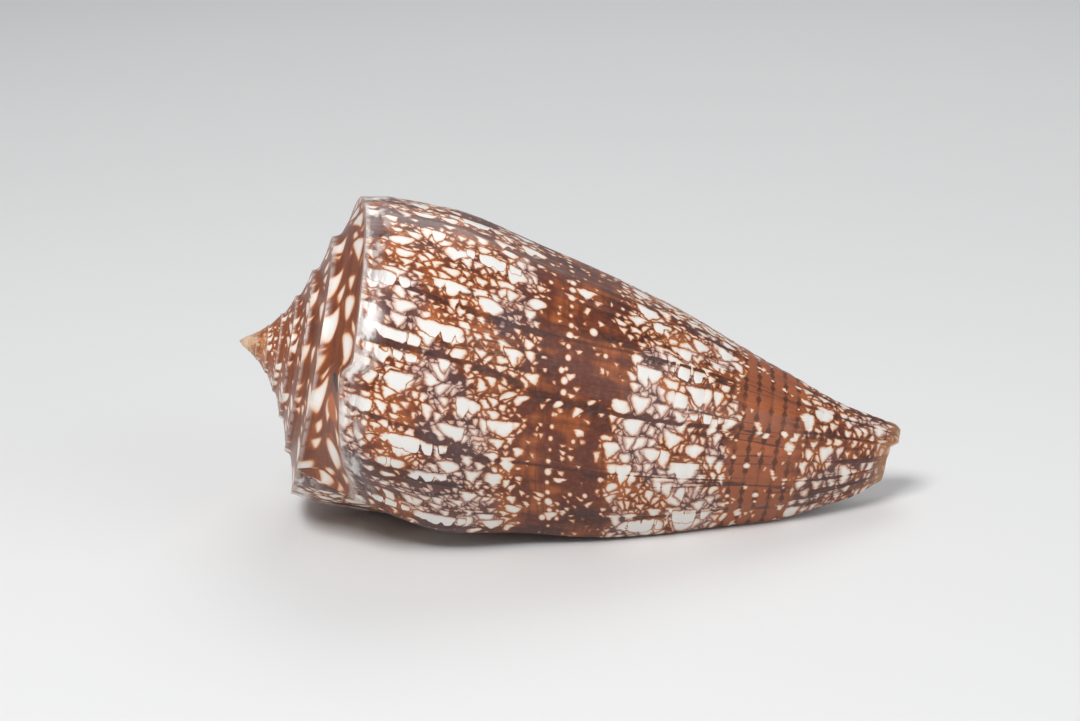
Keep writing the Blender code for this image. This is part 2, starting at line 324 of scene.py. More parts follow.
def rampPoint(turn, share):
    tip = -form["whorls"]
    settled = ease(tip, tip + relief["smoothWhorl"], turn)
    grown = turn - form["rampLag"] / 360 * np.sin(pi * share) * settled
    radius, place = rampAt(grown, share)
    width = keelRadius(turn) - keelRadius(turn - 1)
    beads = beadAt(turn, (1 - share) * width) + beadAt(turn - 1, share * width)
    return pointAt(grown, radius + beads, place - beads)


def selectOnly(*pieces):  # the first becomes the active one
    bpy.ops.object.select_all(action="DESELECT")
    for piece in pieces:
        piece.select_set(True)
    if pieces:
        bpy.context.view_layer.objects.active = pieces[0]


def addSheet(name, columns, rows):  # a flat grid, to be rolled up
    selectOnly()
    bpy.ops.mesh.primitive_grid_add(x_subdivisions=columns, y_subdivisions=rows, size=2)
    sheet = bpy.context.object
    sheet.name = name
    flat = np.zeros(len(sheet.data.vertices) * 3)
    sheet.data.vertices.foreach_get("co", flat)
    x, y, _ = flat.reshape(-1, 3).T
    return sheet, np.rint((x + 1) / 2 * columns).astype(int), np.rint((y + 1) / 2 * rows).astype(int)


# The markings follow a map of turn and share: the body's share runs from 0 to 1, the ramp's from -1 to 0, and
# what is inside lies beyond 2
mouthPlace, hollowPlace, hollowSpan = 2.5, 3.2, 0.1


def layDown(sheet, points, turn, share):  # gives the grid its shape and its map
    place = np.empty((len(points), 2))
    place[:, 0], place[:, 1] = turn, share
    sheet.data.vertices.foreach_set("co", points.ravel())
    corners = np.zeros(len(sheet.data.loops), int)
    sheet.data.loops.foreach_get("vertex_index", corners)
    while sheet.data.uv_layers:
        sheet.data.uv_layers.remove(sheet.data.uv_layers[0])
    sheet.data.uv_layers.new(name="place").data.foreach_set("uv", place[corners].ravel())
    sheet.data.update()
    return sheet


def rollBody():
    rows, steps = bodyRows(), turnSteps() - 1
    sheet, column, row = addSheet("bodyWhorl", len(steps) - 1, len(rows) - 1)
    turn, share = steps[column], rows[row]
    return layDown(sheet, bodyPoint(turn, share), turn, share)


def rollRamp():
    steps = np.concatenate([turnSteps()[:-1] + k for k in range(-form["whorls"], 0)] + [[0.0]])
    sheet, column, row = addSheet("spireRamp", len(steps) - 1, len(rampRows) - 1)
    turn, share = steps[column], rampRows[row]
    return layDown(sheet, rampPoint(turn, share), turn, share - 1)


def closeMouth():  # a straight wall from the lip to the whorl before, cut open later
    rows = bodyRows()
    sheet, column, row = addSheet("mouthWall", 1, len(rows) - 1)
    turn, share = column - 1.0, rows[row]
    return layDown(sheet, bodyPoint(turn, share), share, mouthPlace)


shoulderTurns = 0.06  # the map of the ramp's end runs on over this much


def closeShoulder():  # the end of the ramp at the lip
    sheet, column, row = addSheet("shoulderWall", 1, len(rampRows) - 1)
    share = rampRows[row] * column
    return layDown(sheet, rampPoint(0 * share, share), shoulderTurns * (1 - column), share - 1)


def closeFront():
    steps = np.append(turnSteps() - 1, -1.0)
    sheet, column, row = addSheet("frontEnd", len(steps) - 1, 1)
    turn = steps[column]
    dish = form["length"] - relief["frontDish"]
    centre = pointAt(np.array([relief["dishTurn"]]), relief["dishAside"], dish)
    ring = bodyPoint(turn, 0 * turn + 1)
    return layDown(sheet, np.where(row[:, None] == 1, centre, ring), turn, 1.0)


def closeTip():
    whorls = form["whorls"]
    firstTurn = turnSteps() - whorls
    outer = rampPoint(firstTurn - 1, 0 * firstTurn + 1)
    seam = rampPoint(0 * rampRows - whorls, rampRows)
    ring = np.concatenate([outer, seam[::-1]])
    sheet, column, row = addSheet("spireTip", len(ring) - 1, 1)
    centre = pointAt(np.zeros(1), 0.0, form["tipBlunt"])
    points = np.where(row[:, None] == 1, centre, ring[column])
    return layDown(sheet, points, -whorls, -0.5)


def tidyShut(piece):  # welds the sheets and points their faces outwards
    bpy.ops.object.mode_set(mode="EDIT")
    bpy.ops.mesh.select_all(action="SELECT")
    bpy.ops.mesh.remove_doubles(threshold=relief["weld"])
    bpy.ops.mesh.dissolve_degenerate(threshold=relief["weld"])
    bpy.ops.mesh.select_all(action="SELECT")
    bpy.ops.mesh.normals_make_consistent(inside=False)
    bpy.ops.object.mode_set(mode="OBJECT")
    return piece


def joined(name, sheets):
    selectOnly(*sheets)
    bpy.ops.object.join()
    sheets[0].name = name
    return tidyShut(sheets[0])


# The hollow's outline at each turn: forward under the outer wall, and back along the whorl before
def lumenRing(turn):
    wall = form["wall"] + (form["lipWall"] - form["wall"]) * grownIn("wall", turn)
    reach = form["lumenReach"] + form["lumenOpening"] * grownIn("opening", turn)
    start = keelPlace(turn)
    front = start + reach * (bodyEnd(turn) - start)
    outerBack = form["outerSetback"] * wall
    innerStart = keelPlace(turn - 1) + form["innerSetback"] * wall
    roof, floor = [], []
    for share in np.linspace(0, 1, relief["lumenRows"]) ** relief["lumenCrowding"]:
        here = turn + bodyLeadAt(share * reach)
        outerPlace = start + outerBack + share * (front - start - outerBack)
        innerPlace = innerStart + share * (front - innerStart)
        over = bodyRadiusAt(here, outerPlace) - wall
        under = bodyRadiusAt(here - 1, outerPlace) + form["innerWall"]
        base = bodyRadiusAt(here - 1, innerPlace) + form["innerWall"] + growthWaves(turn - 1)
        over = np.maximum(over, under + form["lumenGap"])
        roof.append(pointAt(here, over, pulledBack(here, outerPlace)))
        floor.append(pointAt(here, base, pulledBack(here, innerPlace)))
    return roof + floor[::-1] + roof[:1]


def rollLumen():
    first, last, lumenRows = -form["lumenTurns"], form["lumenPast"], relief["lumenRows"]
    steps = np.linspace(first, last, round((last - first) * relief["lumenSteps"]) + 1)
    rings = np.array(lumenRing(steps))  # rows, columns, place
    sheet, column, row = addSheet("hollow", len(steps) - 1, len(rings) - 1)
    share = row / lumenRows
    tube = layDown(sheet, rings[row, column], steps[column], hollowPlace + hollowSpan * share)
    ends = []
    for end in (0, -1):
        sheet, column, row = addSheet("hollowEnd", 1, lumenRows - 1)
        points = rings[np.where(column == 0, row, 2 * lumenRows - 1 - row), end]
        ends.append(layDown(sheet, points, steps[end], hollowPlace))
    return joined("hollow", [tube] + ends)


def cutHollow(piece, hollow):
    selectOnly(piece)
    cut = piece.modifiers.new("cut", "BOOLEAN")
    cut.operation, cut.solver, cut.object = "DIFFERENCE", "EXACT", hollow
    bpy.ops.object.modifier_apply(modifier="cut")
    bpy.data.objects.remove(hollow, do_unlink=True)


def layOnFloor(piece):  # turned as the CAD shell lies, and set in its box
    upright = Matrix(((1, 0, 0), (0, 0, -1), (0, 1, 0))).to_4x4()
    piece.data.transform(Matrix.Rotation(radians(shellPose["settle"]), 4, Vector(shellPose["settleAxis"]))
                         @ Matrix.Rotation(radians(shellPose["yaw"]), 4, "Z")
                         @ Matrix.Rotation(radians(shellPose["pitch"]), 4, "Y")
                         @ upright @ Matrix.Rotation(radians(shellPose["roll"]), 4, "X"))
    corners = np.array([v.co for v in piece.data.vertices])
    low, high = corners.min(axis=0), corners.max(axis=0)
    boxLow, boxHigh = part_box("shell")
    target, middle = (boxLow + boxHigh) / 2, (low + high) / 2
    shift = (target.x - middle[0], target.y - middle[1], boxLow.z - low[2])
    piece.data.transform(Matrix.Translation(shift))


def makeShell():
    sheets = [rollBody(), rollRamp(), closeMouth(), closeShoulder(), closeFront(), closeTip()]
    shell = joined("coneShell", sheets)
    print("shell rolled", len(shell.data.polygons))
    cutHollow(shell, rollLumen())
    print("hollow cut", len(shell.data.polygons))
    layOnFloor(shell)
    selectOnly(shell)
    bpy.ops.object.shade_smooth_by_angle(angle=radians(relief["sharpEdge"]))
    return shell


shell = makeShell()
print("shell laid down", len(shell.data.polygons))


def feed(tree, sockets, values):  # links or sets inputs by their names or numbers
    for key, value in values.items():
        if isinstance(value, bpy.types.NodeSocket):
            tree.links.new(value, sockets[key])
        else:
            sockets[key].default_value = value


# Materials are made with these short calls: each adds one node and gives its output
def addNode(tree, kind, inputs, output=0, **settings):
    node = tree.nodes.new("ShaderNode" + kind)
    for name, value in settings.items():
        setattr(node, name, value)
    feed(tree, node.inputs, inputs)
    return node.outputs[output]


def maths(tree, operation, *values, clamp=False):
    return addNode(tree, "Math", dict(enumerate(values)), operation=operation, use_clamp=clamp)


def vectors(tree, operation, *values, output=0):
    return addNode(tree, "VectorMath", dict(enumerate(values)), output, operation=operation)


def smoothStep(tree, value, low, high):
    return addNode(tree, "MapRange", {"Value": value, "From Min": low, "From Max": high},
                   interpolation_type="SMOOTHSTEP")


def mixColours(tree, share, first, second):
    return addNode(tree, "Mix", {0: share, 6: first, 7: second}, 2, data_type="RGBA")


def newGroup(name, inputs, outputs):
    group = bpy.data.node_groups.new(name, "ShaderNodeTree")
    for socket, kind, value in inputs:
        made = group.interface.new_socket(socket, in_out="INPUT", socket_type="NodeSocket" + kind)
        if value is not None:
            made.default_value = value
    for socket, kind in outputs:
        group.interface.new_socket(socket, in_out="OUTPUT", socket_type="NodeSocket" + kind)
    return group, group.nodes.new("NodeGroupInput").outputs, group.nodes.new("NodeGroupOutput").inputs


def newMaterial(name):  # also gives its tree and the sockets of its shader
    material = bpy.data.materials.new(name)
    material.use_nodes = True
    return material, material.node_tree, material.node_tree.nodes["Principled BSDF"].inputs


floorLook = {
    "colour": (0.80, 0.80, 0.79, 1.0),
    "shade": (0.76, 0.76, 0.755, 1.0),
    "size": 3.0,
    "cells": 8,
    "roughness": 0.6,
    "cloudScale": 6.0,
}


def makeFloor():
    selectOnly()
    bpy.ops.mesh.primitive_grid_add(x_subdivisions=floorLook["cells"], y_subdivisions=floorLook["cells"],
                                    size=floorLook["size"])
    floor = bpy.context.object
    floor.name = "paleFloor"
    material, tree, surface = newMaterial("paleFloor")
    place = addNode(tree, "TexCoord", {}, 3)
    cloud = addNode(tree, "TexNoise", {"Vector": place, "Scale": floorLook["cloudScale"], "Detail": 3.0})
    clouded = mixColours(tree, cloud, floorLook["colour"], floorLook["shade"])
    feed(tree, surface, {"Base Color": clouded, "Roughness": floorLook["roughness"]})
    floor.data.materials.append(material)


studio = {
    "world": ((0.93, 0.95, 1.0), 0.28),
    "key": {"at": (-0.20, -0.34, 0.50), "size": 0.24, "watts": 3.1},
    "fill": {"at": (0.50, -0.30, 0.30), "size": 0.45, "watts": 0.8},
    "back": {"at": (0.10, 0.50, 0.55), "size": 0.40, "watts": 1.3},
    "aim": (0.0, 0.0, 0.015),
}


def lightStudio():
    world = bpy.data.worlds.new("studio")
    world.use_nodes = True
    colour, strength = studio["world"]
    background = world.node_tree.nodes["Background"].inputs
    feed(world.node_tree, background, {"Color": (*colour, 1.0), "Strength": strength})
    bpy.context.scene.world = world
    bpy.context.scene.view_settings.view_transform = "Standard"
    for name in ("key", "fill", "back"):
        lamp = studio[name]
        bpy.ops.object.light_add(type="AREA", location=lamp["at"])
        light = bpy.context.object
        light.name = name + "Light"
        light.data.energy, light.data.size = lamp["watts"], lamp["size"]
        aim = Vector(studio["aim"]) - Vector(lamp["at"])
        light.rotation_euler = aim.to_track_quat("-Z", "Y").to_euler()


photoView = {  # the photograph's angle, in degrees and metres
    "turn": -1.06,
    "down": 15.65,
    "away": 0.2928,
    "aim": (-0.00444, 0.0, 0.01885),
    "tilt": -0.35,
    "lens": 84.8,
    "sensor": 36.0,
    "nearest": 0.01,
}


def setCamera():
    down, tilt = radians(photoView["down"]), radians(photoView["tilt"])
    forward = Vector((0, cos(down), -sin(down)))
    up = Vector((0, sin(down), cos(down)))
    right = Vector((1, 0, 0))
    spot = Vector(photoView["aim"]) - forward * photoView["away"]
    across = right * cos(tilt) - up * sin(tilt)
    upright = right * sin(tilt) + up * cos(tilt)
    place = Matrix((across, upright, -forward)).transposed().to_4x4()
    place.translation = spot
    bpy.ops.object.camera_add()
    camera = bpy.context.object
    camera.name = "photoCamera"
    camera.matrix_world = Matrix.Rotation(radians(photoView["turn"]), 4, "Z") @ place
    camera.data.lens = photoView["lens"]
    camera.data.sensor_width = photoView["sensor"]
    camera.data.clip_start = photoView["nearest"]
    bpy.context.scene.camera = camera


makeFloor()
lightStudio()
setCamera()
print("studio set")

# Colours of the skin, as linear values
skinColours = {
    "dark": (0.036, 0.012, 0.008, 1.0),
    "chestnut": (0.130, 0.028, 0.011, 1.0),
    "orange": (0.430, 0.110, 0.022, 1.0),
    "rust": (0.420, 0.118, 0.042, 1.0),
    "spire": (0.215, 0.056, 0.017, 1.0),
    "grey": (0.210, 0.145, 0.140, 1.0),
    "violet": (0.095, 0.050, 0.050, 1.0),
    "line": (0.055, 0.024, 0.022, 1.0),
    "pink": (0.600, 0.420, 0.370, 1.0),
    "pale": (0.640, 0.540, 0.490, 1.0),
    "white": (0.820, 0.790, 0.760, 1.0),
    "tip": (0.560, 0.260, 0.110, 1.0),
    "apex": (0.700, 0.520, 0.360, 1.0),
    "porcelain": (0.700, 0.620, 0.580, 1.0),
    # painted shade: the porcelain lining darkened deep inside the hollow
    "deepShade": (0.460, 0.330, 0.290, 1.0),
}

# Orange through cream to white inwards from a tent's edge, in centimetres, so that small tents stay warm
tentEdge = (
    (0.0, (0.36, 0.100, 0.030, 1.0)),
    (0.0045, (0.62, 0.30, 0.15, 1.0)),
    (0.012, (0.79, 0.60, 0.47, 1.0)),
    (0.024, (0.83, 0.75, 0.67, 1.0)),
    (0.045, (0.83, 0.81, 0.78, 1.0)),
)
tentEdgeReach = 0.05

# The body's tents, from the long ones to the specks. Scale is in cells to the centimetre, width and height in
# cells, line is the ground round them, and teeth cut their lower edge. The shares say how many cells have
# one, from the keel to the front end
tentLayers = {
    "long": {
        "Scale": 1.55, "Spread": 0.8, "Width": 0.50, "Height": 0.25, "Blunt": 3.0, "Line": 0.02, "Skew": 0.3},
    "big": {
        "Scale": 2.85, "Spread": 0.85, "Width": 0.44, "Height": 0.6, "Blunt": 1.5, "Line": 0.05, "Skew": 0.7},
    "middle": {
        "Scale": 4.6, "Spread": 0.9, "Width": 0.45, "Height": 0.82, "Blunt": 1.4, "Line": 0.042, "Skew": 0.7},
    "small": {
        "Scale": 8.2, "Spread": 0.95, "Width": 0.48, "Height": 0.88, "Blunt": 1.4, "Line": 0.055,
        "Skew": 0.6},
    "speck": {
        "Scale": 14.5, "Spread": 1.0, "Width": 0.46, "Height": 0.84, "Blunt": 1.4, "Line": 0.07, "Skew": 0.5},
}
tentTeeth = {"long": 2.4, "big": 1.1, "middle": 0.0, "small": 0.0, "speck": 0.0}
tentShares = {
    "long": ((0.0, 0.0), (0.05, 0.1), (0.08, 0.48), (0.25, 0.48), (0.28, 0.0), (0.47, 0.0), (0.50, 0.85),
             (0.63, 0.85), (0.65, 0.0), (0.81, 0.0), (0.83, 0.15), (0.94, 0.0)),
    "big": ((0.0, 0.2), (0.06, 0.52), (0.27, 0.50), (0.295, 0.0), (0.45, 0.0), (0.48, 0.72), (0.65, 0.72),
            (0.665, 0.0), (0.79, 0.0), (0.82, 0.4), (0.93, 0.1), (1.0, 0.0)),
    "middle": ((0.0, 0.4), (0.06, 0.66), (0.28, 0.62), (0.30, 0.03), (0.45, 0.06), (0.47, 0.90), (0.66, 0.90),
               (0.672, 0.04), (0.80, 0.05), (0.81, 0.7), (1.0, 0.5)),
    "small": ((0.0, 0.5), (0.06, 0.80), (0.29, 0.78), (0.305, 0.08), (0.44, 0.14), (0.47, 0.94), (0.67, 0.92),
              (0.68, 0.06), (0.79, 0.10), (0.805, 0.95), (1.0, 0.8)),
    "speck": ((0.0, 0.6), (0.06, 0.85), (0.29, 0.85), (0.31, 0.12), (0.45, 0.15), (0.47, 0.95), (0.67, 0.95),
              (0.68, 0.05), (0.80, 0.1), (0.81, 0.9), (1.0, 0.8)),
}

# How every tent varies and is rounded off, in cells
tentShape = {
    "size": (0.70, 0.65),  # its size is the first times chance, and the second
    "top": 0.45,  # its flat side lies this share of its height behind the middle
    "taper": 0.75,
    "rounding": 0.16,
    "ground": 0.011,  # centimetres of ground round a tent that lies over others
    "blend": 0.015,
}
tentDefaults = {
    "Scale": 3.0, "Spread": 0.8, "Width": 0.5, "Height": 0.6, "Blunt": 1.5, "Line": 0.05, "Teeth": 0.0,
    "Skew": 0.5}

# The spire's patches, each about as wide as the ramp: how many to the turn, rows across the ramp, and the
# share of cells that have one
spirePatches = {
    "patch": {"Width": 0.30, "Height": 0.66, "Blunt": 1.8, "Line": 0.09},
    "chip": {"Width": 0.32, "Height": 0.66, "Blunt": 1.5, "Line": 0.12},
}
spireCells = {"patch": (19.0, 1.5, 0.80), "chip": (40.0, 3.0, 0.50)}
spireShape = {"spread": 0.75, "rampWidth": 0.35, "ground": 0.015}

# Spots strung along the spiral grooves, in centimetres, and how many places have one
spotStrings = {
    "perTurn": 84,
    "size": 0.034,
    "smallest": 0.5,  # share of that size
    "aside": 0.016,
    "apart": 0.14,
    "flat": 0.7,
    "bodyLength": 6.5,
    "ownColumn": 0.353,  # a row of its own in the first band
    "ownWidth": 0.45,
    "many": ((0.0, 0.0), (0.29, 0.0), (0.31, 0.08), (0.45, 0.10), (0.48, 0.0), (0.66, 0.0), (0.675, 0.20),
             (0.79, 0.16), (0.81, 0.0)),
}

# A dark pit and a stain beside the scar, in turns and shares of the ramp
scarSpots = {
    "pit": {"at": (-0.113, -0.32), "size": (0.0065, 0.17), "colour": "dark"},
    "stain": {"at": (-0.085, -0.42), "size": (0.013, 0.20), "colour": "orange"},
}
scarSoftness = (1.2, 0.5)

# The body is unrolled as a fan, in centimetres: its radius at the front end, the length of the body, and how
# far noise of two scales shifts the pattern
fan = {"front": 0.85, "length": 5.6, "spread": 0.8 * pi, "wander": ((4.0, 0.10), (17.0, 0.045))}

# Noise over turn and share: cells to the turn and to the body, the layer and detail, and where a mask of it
# comes in
skinGrains = {
    "waver": {"cells": (40.0, 20.0)},
    "streaks": {"cells": (60.0, 6.0)},
    "clouds": {"cells": (16.0, 16.0), "layer": 3.0},
    "spiral": {"cells": (3.0, 75.0), "layer": 11.0, "mask": (0.46, 0.64)},
    "pauses": {"cells": (34.0, 5.0), "layer": 8.0, "mask": (0.50, 0.66)},
    "rests": {"cells": (17.0, 0.9), "layer": 41.0, "detail": 1.0, "mask": (0.030, 0.008)},
    "uneven": {"cells": (45.0, 32.0), "layer": 37.0, "detail": 1.0, "mask": (0.36, 0.60)},
    "dusky": {"cells": (14.0, 5.0), "layer": 33.0, "mask": (0.46, 0.60)},
    "glaze": {"cells": (14.0, 9.0), "layer": 5.0, "mask": (0.50, 0.64)},
    "fine": {"cells": (260.0, 110.0), "detail": 4.0, "mask": (0.42, 0.72)},
    "blots": {"cells": (40.0, 3.7), "detail": 1.0, "mask": (0.32, 0.52)},
    "lines": {"cells": (30.0, 1.2), "layer": 29.0, "detail": 2.0, "mask": (0.012, 0.004)},
    "lineParts": {"cells": (9.0, 4.0), "layer": 31.0, "mask": (0.44, 0.56)},
    "greyed": {"cells": (26.0, 90.0), "layer": 17.0, "mask": (0.54, 0.46)},
    "patched": {"cells": (34.0, 34.0), "layer": 21.0, "mask": (0.47, 0.60)},
    "broken": {"cells": (70.0, 10.0), "layer": 19.0, "mask": (0.38, 0.54)},
    "freckles": {"cells": (9.0, 2.0), "layer": 23.0, "detail": 1.0, "mask": (0.50, 0.58)},
    "growth": {"cells": (230.0, 5.0), "detail": 4.0},
}
grainDefaults = {"layer": 0.0, "detail": 3.0, "roughness": 0.55}

# The two bands and the dots in them: places along the body, and strength
bandStops = {
    "first": ((0.0, 0.0), (0.28, 0.0), (0.31, 1.0), (0.45, 0.8), (0.48, 0.0)),
    "second": ((0.0, 0.0), (0.66, 0.0), (0.68, 1.0), (0.79, 0.9), (0.82, 0.0)),
    "dots": ((0.0, 0.0), (0.40, 0.1), (0.64, 0.3), (0.67, 0.75), (0.79, 0.75), (0.82, 0.4)),
}

# How strongly each effect shows
skinAmounts = {
    "waver": 0.05,
    "saw": 0.7,
    "restOnTents": -0.022,
    "restOnGround": 0.75,
    "spiral": 0.75,
    "pauses": 0.8,
    "rust": 0.72,
    "dusky": 0.7,
    "early": 0.55,
    "spire": 0.85,
    "lateGlaze": 0.07,
    "mostGlaze": 0.7,
    "halo": 0.60,
    "coldHalo": 0.25,  # share of the halo that is left where the ground is chestnut
    "fine": 0.22,
    "grooveLine": 0.35,
    "lines": 0.8,
    "greyed": 0.6,
    "patched": 0.85,
    "keelLine": (0.10, 0.5),  # at least, and more where the noise has it
    "front": 0.6,
    "freckles": 0.7,
    "apex": 0.85,
}

# Where each effect comes in: turns, shares, centimetres deep in a tent, or millimetres from the keel
skinSteps = {
    "warm": (0.46, 0.64),
    "sawReach": 0.30,
    "early": (-1.4, -4.6),
    "lateGlaze": (-0.30, -0.05),
    "halo": (-0.020, -0.002),
    "dots": (0.30, 0.14),
    "grooveLine": (0.16, 0.02),
    "dull": (0.022, 0.006),
    "tentEdge": (-0.008, 0.003),
    "linesEnd": (0.030, 0.006),
    "shoulder": (3.2, 0.4),
    "keelLine": (0.55, 0.18),
    "suture": (0.05, 0.0),
    "front": (0.955, 1.0),
    "freckles": (-6.6, -6.0),
    "tan": (-5.6, -6.6),
    "apex": (-4.2, -5.6),
    "inside": (2.0, 2.1),
    # painted shade, coming in from the lip to almost a turn back inside the hollow
    "deepShade": (-0.05, -0.9),
}
dotRow = {"perTurn": 62.0, "length": 0.34}
keelDistance = {"body": 65.0, "ramp": -4.0}  # millimetres along the body and the ramp

skinGloss = {
    "bumpStrength": 0.25,
    "bumpDistance": 0.0002,
    "roughness": (0.24, 0.16),  # at least, and more with the growth lines
    "sockets": {"Specular IOR Level": 0.38, "Coat Weight": 0.12, "Coat Roughness": 0.10},
}

groovePitch = (relief["grooveEnd"] - relief["grooveStart"]) / relief["grooves"]


def times(tree, first, second):
    return maths(tree, "MULTIPLY", first, second)


def minus(tree, first, second, clamp=False):
    return maths(tree, "SUBTRACT", first, second, clamp=clamp)


def weighed(tree, value, name):
    return times(tree, value, skinAmounts[name])


def shown(tree, value, name):  # an effect where it comes in, at its strength
    return weighed(tree, stepped(tree, value, name), name)


def tinted(tree, colour, share, name):
    return mixColours(tree, share, colour, skinColours[name])


def largest(tree, first, second):
    return maths(tree, "MAXIMUM", first, second)


def fromHalf(tree, value):  # distance from a half, which is the middle of a cell or of noise
    return maths(tree, "ABSOLUTE", minus(tree, value, 0.5))


def stepped(tree, value, name):
    return smoothStep(tree, value, *skinSteps[name])


def curveAlong(tree, value, stops, reach=1.0):  # a value or colour that follows stops up to the reach
    node = tree.nodes.new("ShaderNodeValToRGB")
    if reach != 1.0:
        value = maths(tree, "DIVIDE", value, reach, clamp=True)
    tree.links.new(value, node.inputs[0])
    points = node.color_ramp.elements
    while len(points) < len(stops):
        points.new(0.5)
    for point, (at, level) in zip(points, stops):
        point.position = at / reach
        point.color = level if isinstance(level, tuple) else (level, level, level, 1.0)
    return node.outputs["Color"]


def grain(tree, where, name):  # noise in spiral places
    look = {**grainDefaults, **skinGrains[name]}
    turn, share = where
    along, across = look["cells"]
    x, y = times(tree, turn, along), times(tree, share, across)
    spot = addNode(tree, "CombineXYZ", {0: x, 1: y, 2: look["layer"]})
    return addNode(tree, "TexNoise", {"Vector": spot, "Scale": 1.0, "Detail": look["detail"],
                                      "Roughness": look["roughness"]})


def grainMask(tree, where, name):
    return smoothStep(tree, grain(tree, where, name), *skinGrains[name]["mask"])


def grainLines(tree, where, name):  # thin lines where the noise crosses a half
    return smoothStep(tree, fromHalf(tree, grain(tree, where, name)), *skinGrains[name]["mask"])


def tentGroup():  # one layer of tents: flat on the older side, pointed towards the lip
    inputs = [(name, "Vector", None) for name in ("Pattern", "Along", "Across")]
    inputs += [(name, "Float", value) for name, value in tentDefaults.items()]
    outputs = [(name, "Float") for name in ("Depth", "Home", "Key")]
    group, given, result = newGroup("tentMarks", inputs, outputs)
    chosenBy, smallest = tentShape["size"]
    rounding = tentShape["rounding"]
    spread = addNode(group, "VectorMath", {0: given["Pattern"], "Scale": given["Scale"]}, operation="SCALE")
    inputs = {"Vector": spread, "Scale": 1.0, "Randomness": given["Spread"]}
    cells = addNode(group, "TexVoronoi", inputs, voronoi_dimensions="2D").node.outputs
    borders = addNode(group, "TexVoronoi", inputs, voronoi_dimensions="2D", feature="DISTANCE_TO_EDGE")
    local = vectors(group, "SUBTRACT", spread, cells["Position"])
    chance = addNode(group, "SeparateColor", {0: cells["Color"]}).node.outputs
    along = vectors(group, "DOT_PRODUCT", local, given["Along"], output="Value")
    across = vectors(group, "DOT_PRODUCT", local, given["Across"], output="Value")
    skew = times(group, minus(group, chance[0], 0.5), given["Skew"])
    across = maths(group, "ABSOLUTE", maths(group, "MULTIPLY_ADD", along, skew, across))
    size = maths(group, "MULTIPLY_ADD", chance[1], chosenBy, smallest)
    width = times(group, given["Width"], size)
    height = times(group, given["Height"], size)
    top = maths(group, "MULTIPLY_ADD", height, tentShape["top"], along)
    fall = largest(group, maths(group, "DIVIDE", top, height), 0.0)
    fall = maths(group, "POWER", fall, given["Blunt"])
    side = minus(group, times(group, width, minus(group, 1.0, fall)), across)
    side = minus(group, times(group, side, tentShape["taper"]), given["Teeth"])
    depth = maths(group, "SMOOTH_MIN", side, top, rounding)
    border = minus(group, borders, given["Line"])
    depth = maths(group, "SMOOTH_MIN", depth, border, rounding)
    depth = maths(group, "DIVIDE", depth, given["Scale"])
    home = vectors(group, "LENGTH", cells["Position"], output="Value")
    home = maths(group, "DIVIDE", home, given["Scale"])
    feed(group, result, {"Depth": depth, "Home": home, "Key": chance[2]})
    return group


def spotGroup():  # round spots in a row along each spiral line
    values = {"Phase": None, "Turn": None, "Pitch": 0.17, "Many": 0.5}
    inputs = [(name, "Float", value) for name, value in values.items()]
    group, given, result = newGroup("grooveSpots", inputs, [("Depth", "Float")])
    column = maths(group, "FLOOR", given["Phase"])
    step = times(group, given["Turn"], spotStrings["perTurn"])
    key = addNode(group, "CombineXYZ", {0: column, 1: maths(group, "FLOOR", step)})
    noise = addNode(group, "TexWhiteNoise", {"Vector": key}, 1, noise_dimensions="2D")
    chance = addNode(group, "SeparateColor", {0: noise}).node.outputs
    across = minus(group, maths(group, "FRACT", given["Phase"]), 0.5)
    across = times(group, across, given["Pitch"])
    aside = minus(group, chance[0], 0.5)
    across = maths(group, "MULTIPLY_ADD", aside, spotStrings["aside"], across)
    along = times(group, minus(group, maths(group, "FRACT", step), 0.5), spotStrings["apart"])
    flattened = times(group, times(group, along, along), spotStrings["flat"])
    away = maths(group, "SQRT", maths(group, "ADD", times(group, across, across), flattened))
    size = maths(group, "MULTIPLY_ADD", chance[1], spotStrings["size"],
                 spotStrings["smallest"] * spotStrings["size"])
    missing = maths(group, "GREATER_THAN", chance[2], given["Many"])
    feed(group, result, {"Depth": minus(group, minus(group, size, away), missing)})
    return group


def placeGroup(tree, group, label, values):
    node = tree.nodes.new("ShaderNodeGroup")
    node.node_tree, node.label = group, label
    feed(tree, node.inputs, values)
    return node.outputs


def chosen(tree, marks, many):  # takes away the marks of the cells whose key is over a level
    missing = maths(tree, "GREATER_THAN", marks["Key"], many)
    return minus(tree, marks["Depth"], missing)


def laidUnder(tree, upper, lower, line):  # joins two layers, with a line of ground round the upper one
    if upper is None:
        return lower
    clear = minus(tree, times(tree, upper, -1.0), line)
    return largest(tree, upper, maths(tree, "SMOOTH_MIN", lower, clear, tentShape["blend"]))


# The body is unrolled as a flat fan, so that tents keep their size towards the front end: gives the pattern's
# place, and the directions along and across a growth line
def unrolled(tree, turn, share):
    away = maths(tree, "MULTIPLY_ADD", share, -fan["length"], fan["length"] + fan["front"])
    angle = times(tree, turn, fan["spread"])
    cosine, sine = maths(tree, "COSINE", angle), maths(tree, "SINE", angle)
    across = addNode(tree, "CombineXYZ", {0: cosine, 1: sine})
    along = addNode(tree, "CombineXYZ", {0: times(tree, sine, -1.0), 1: cosine})
    flat = addNode(tree, "VectorMath", {0: across, "Scale": away}, operation="SCALE")
    pattern = flat
    for scale, shift in fan["wander"]:
        noise = addNode(tree, "TexNoise", {"Vector": flat, "Scale": scale, "Detail": 2.0}, 1)
        noise = vectors(tree, "SUBTRACT", noise, (0.5, 0.5, 0.5))
        pattern = vectors(tree, "ADD", pattern, vectors(tree, "MULTIPLY", noise, (shift, shift, 0.0)))
    return pattern, along, across


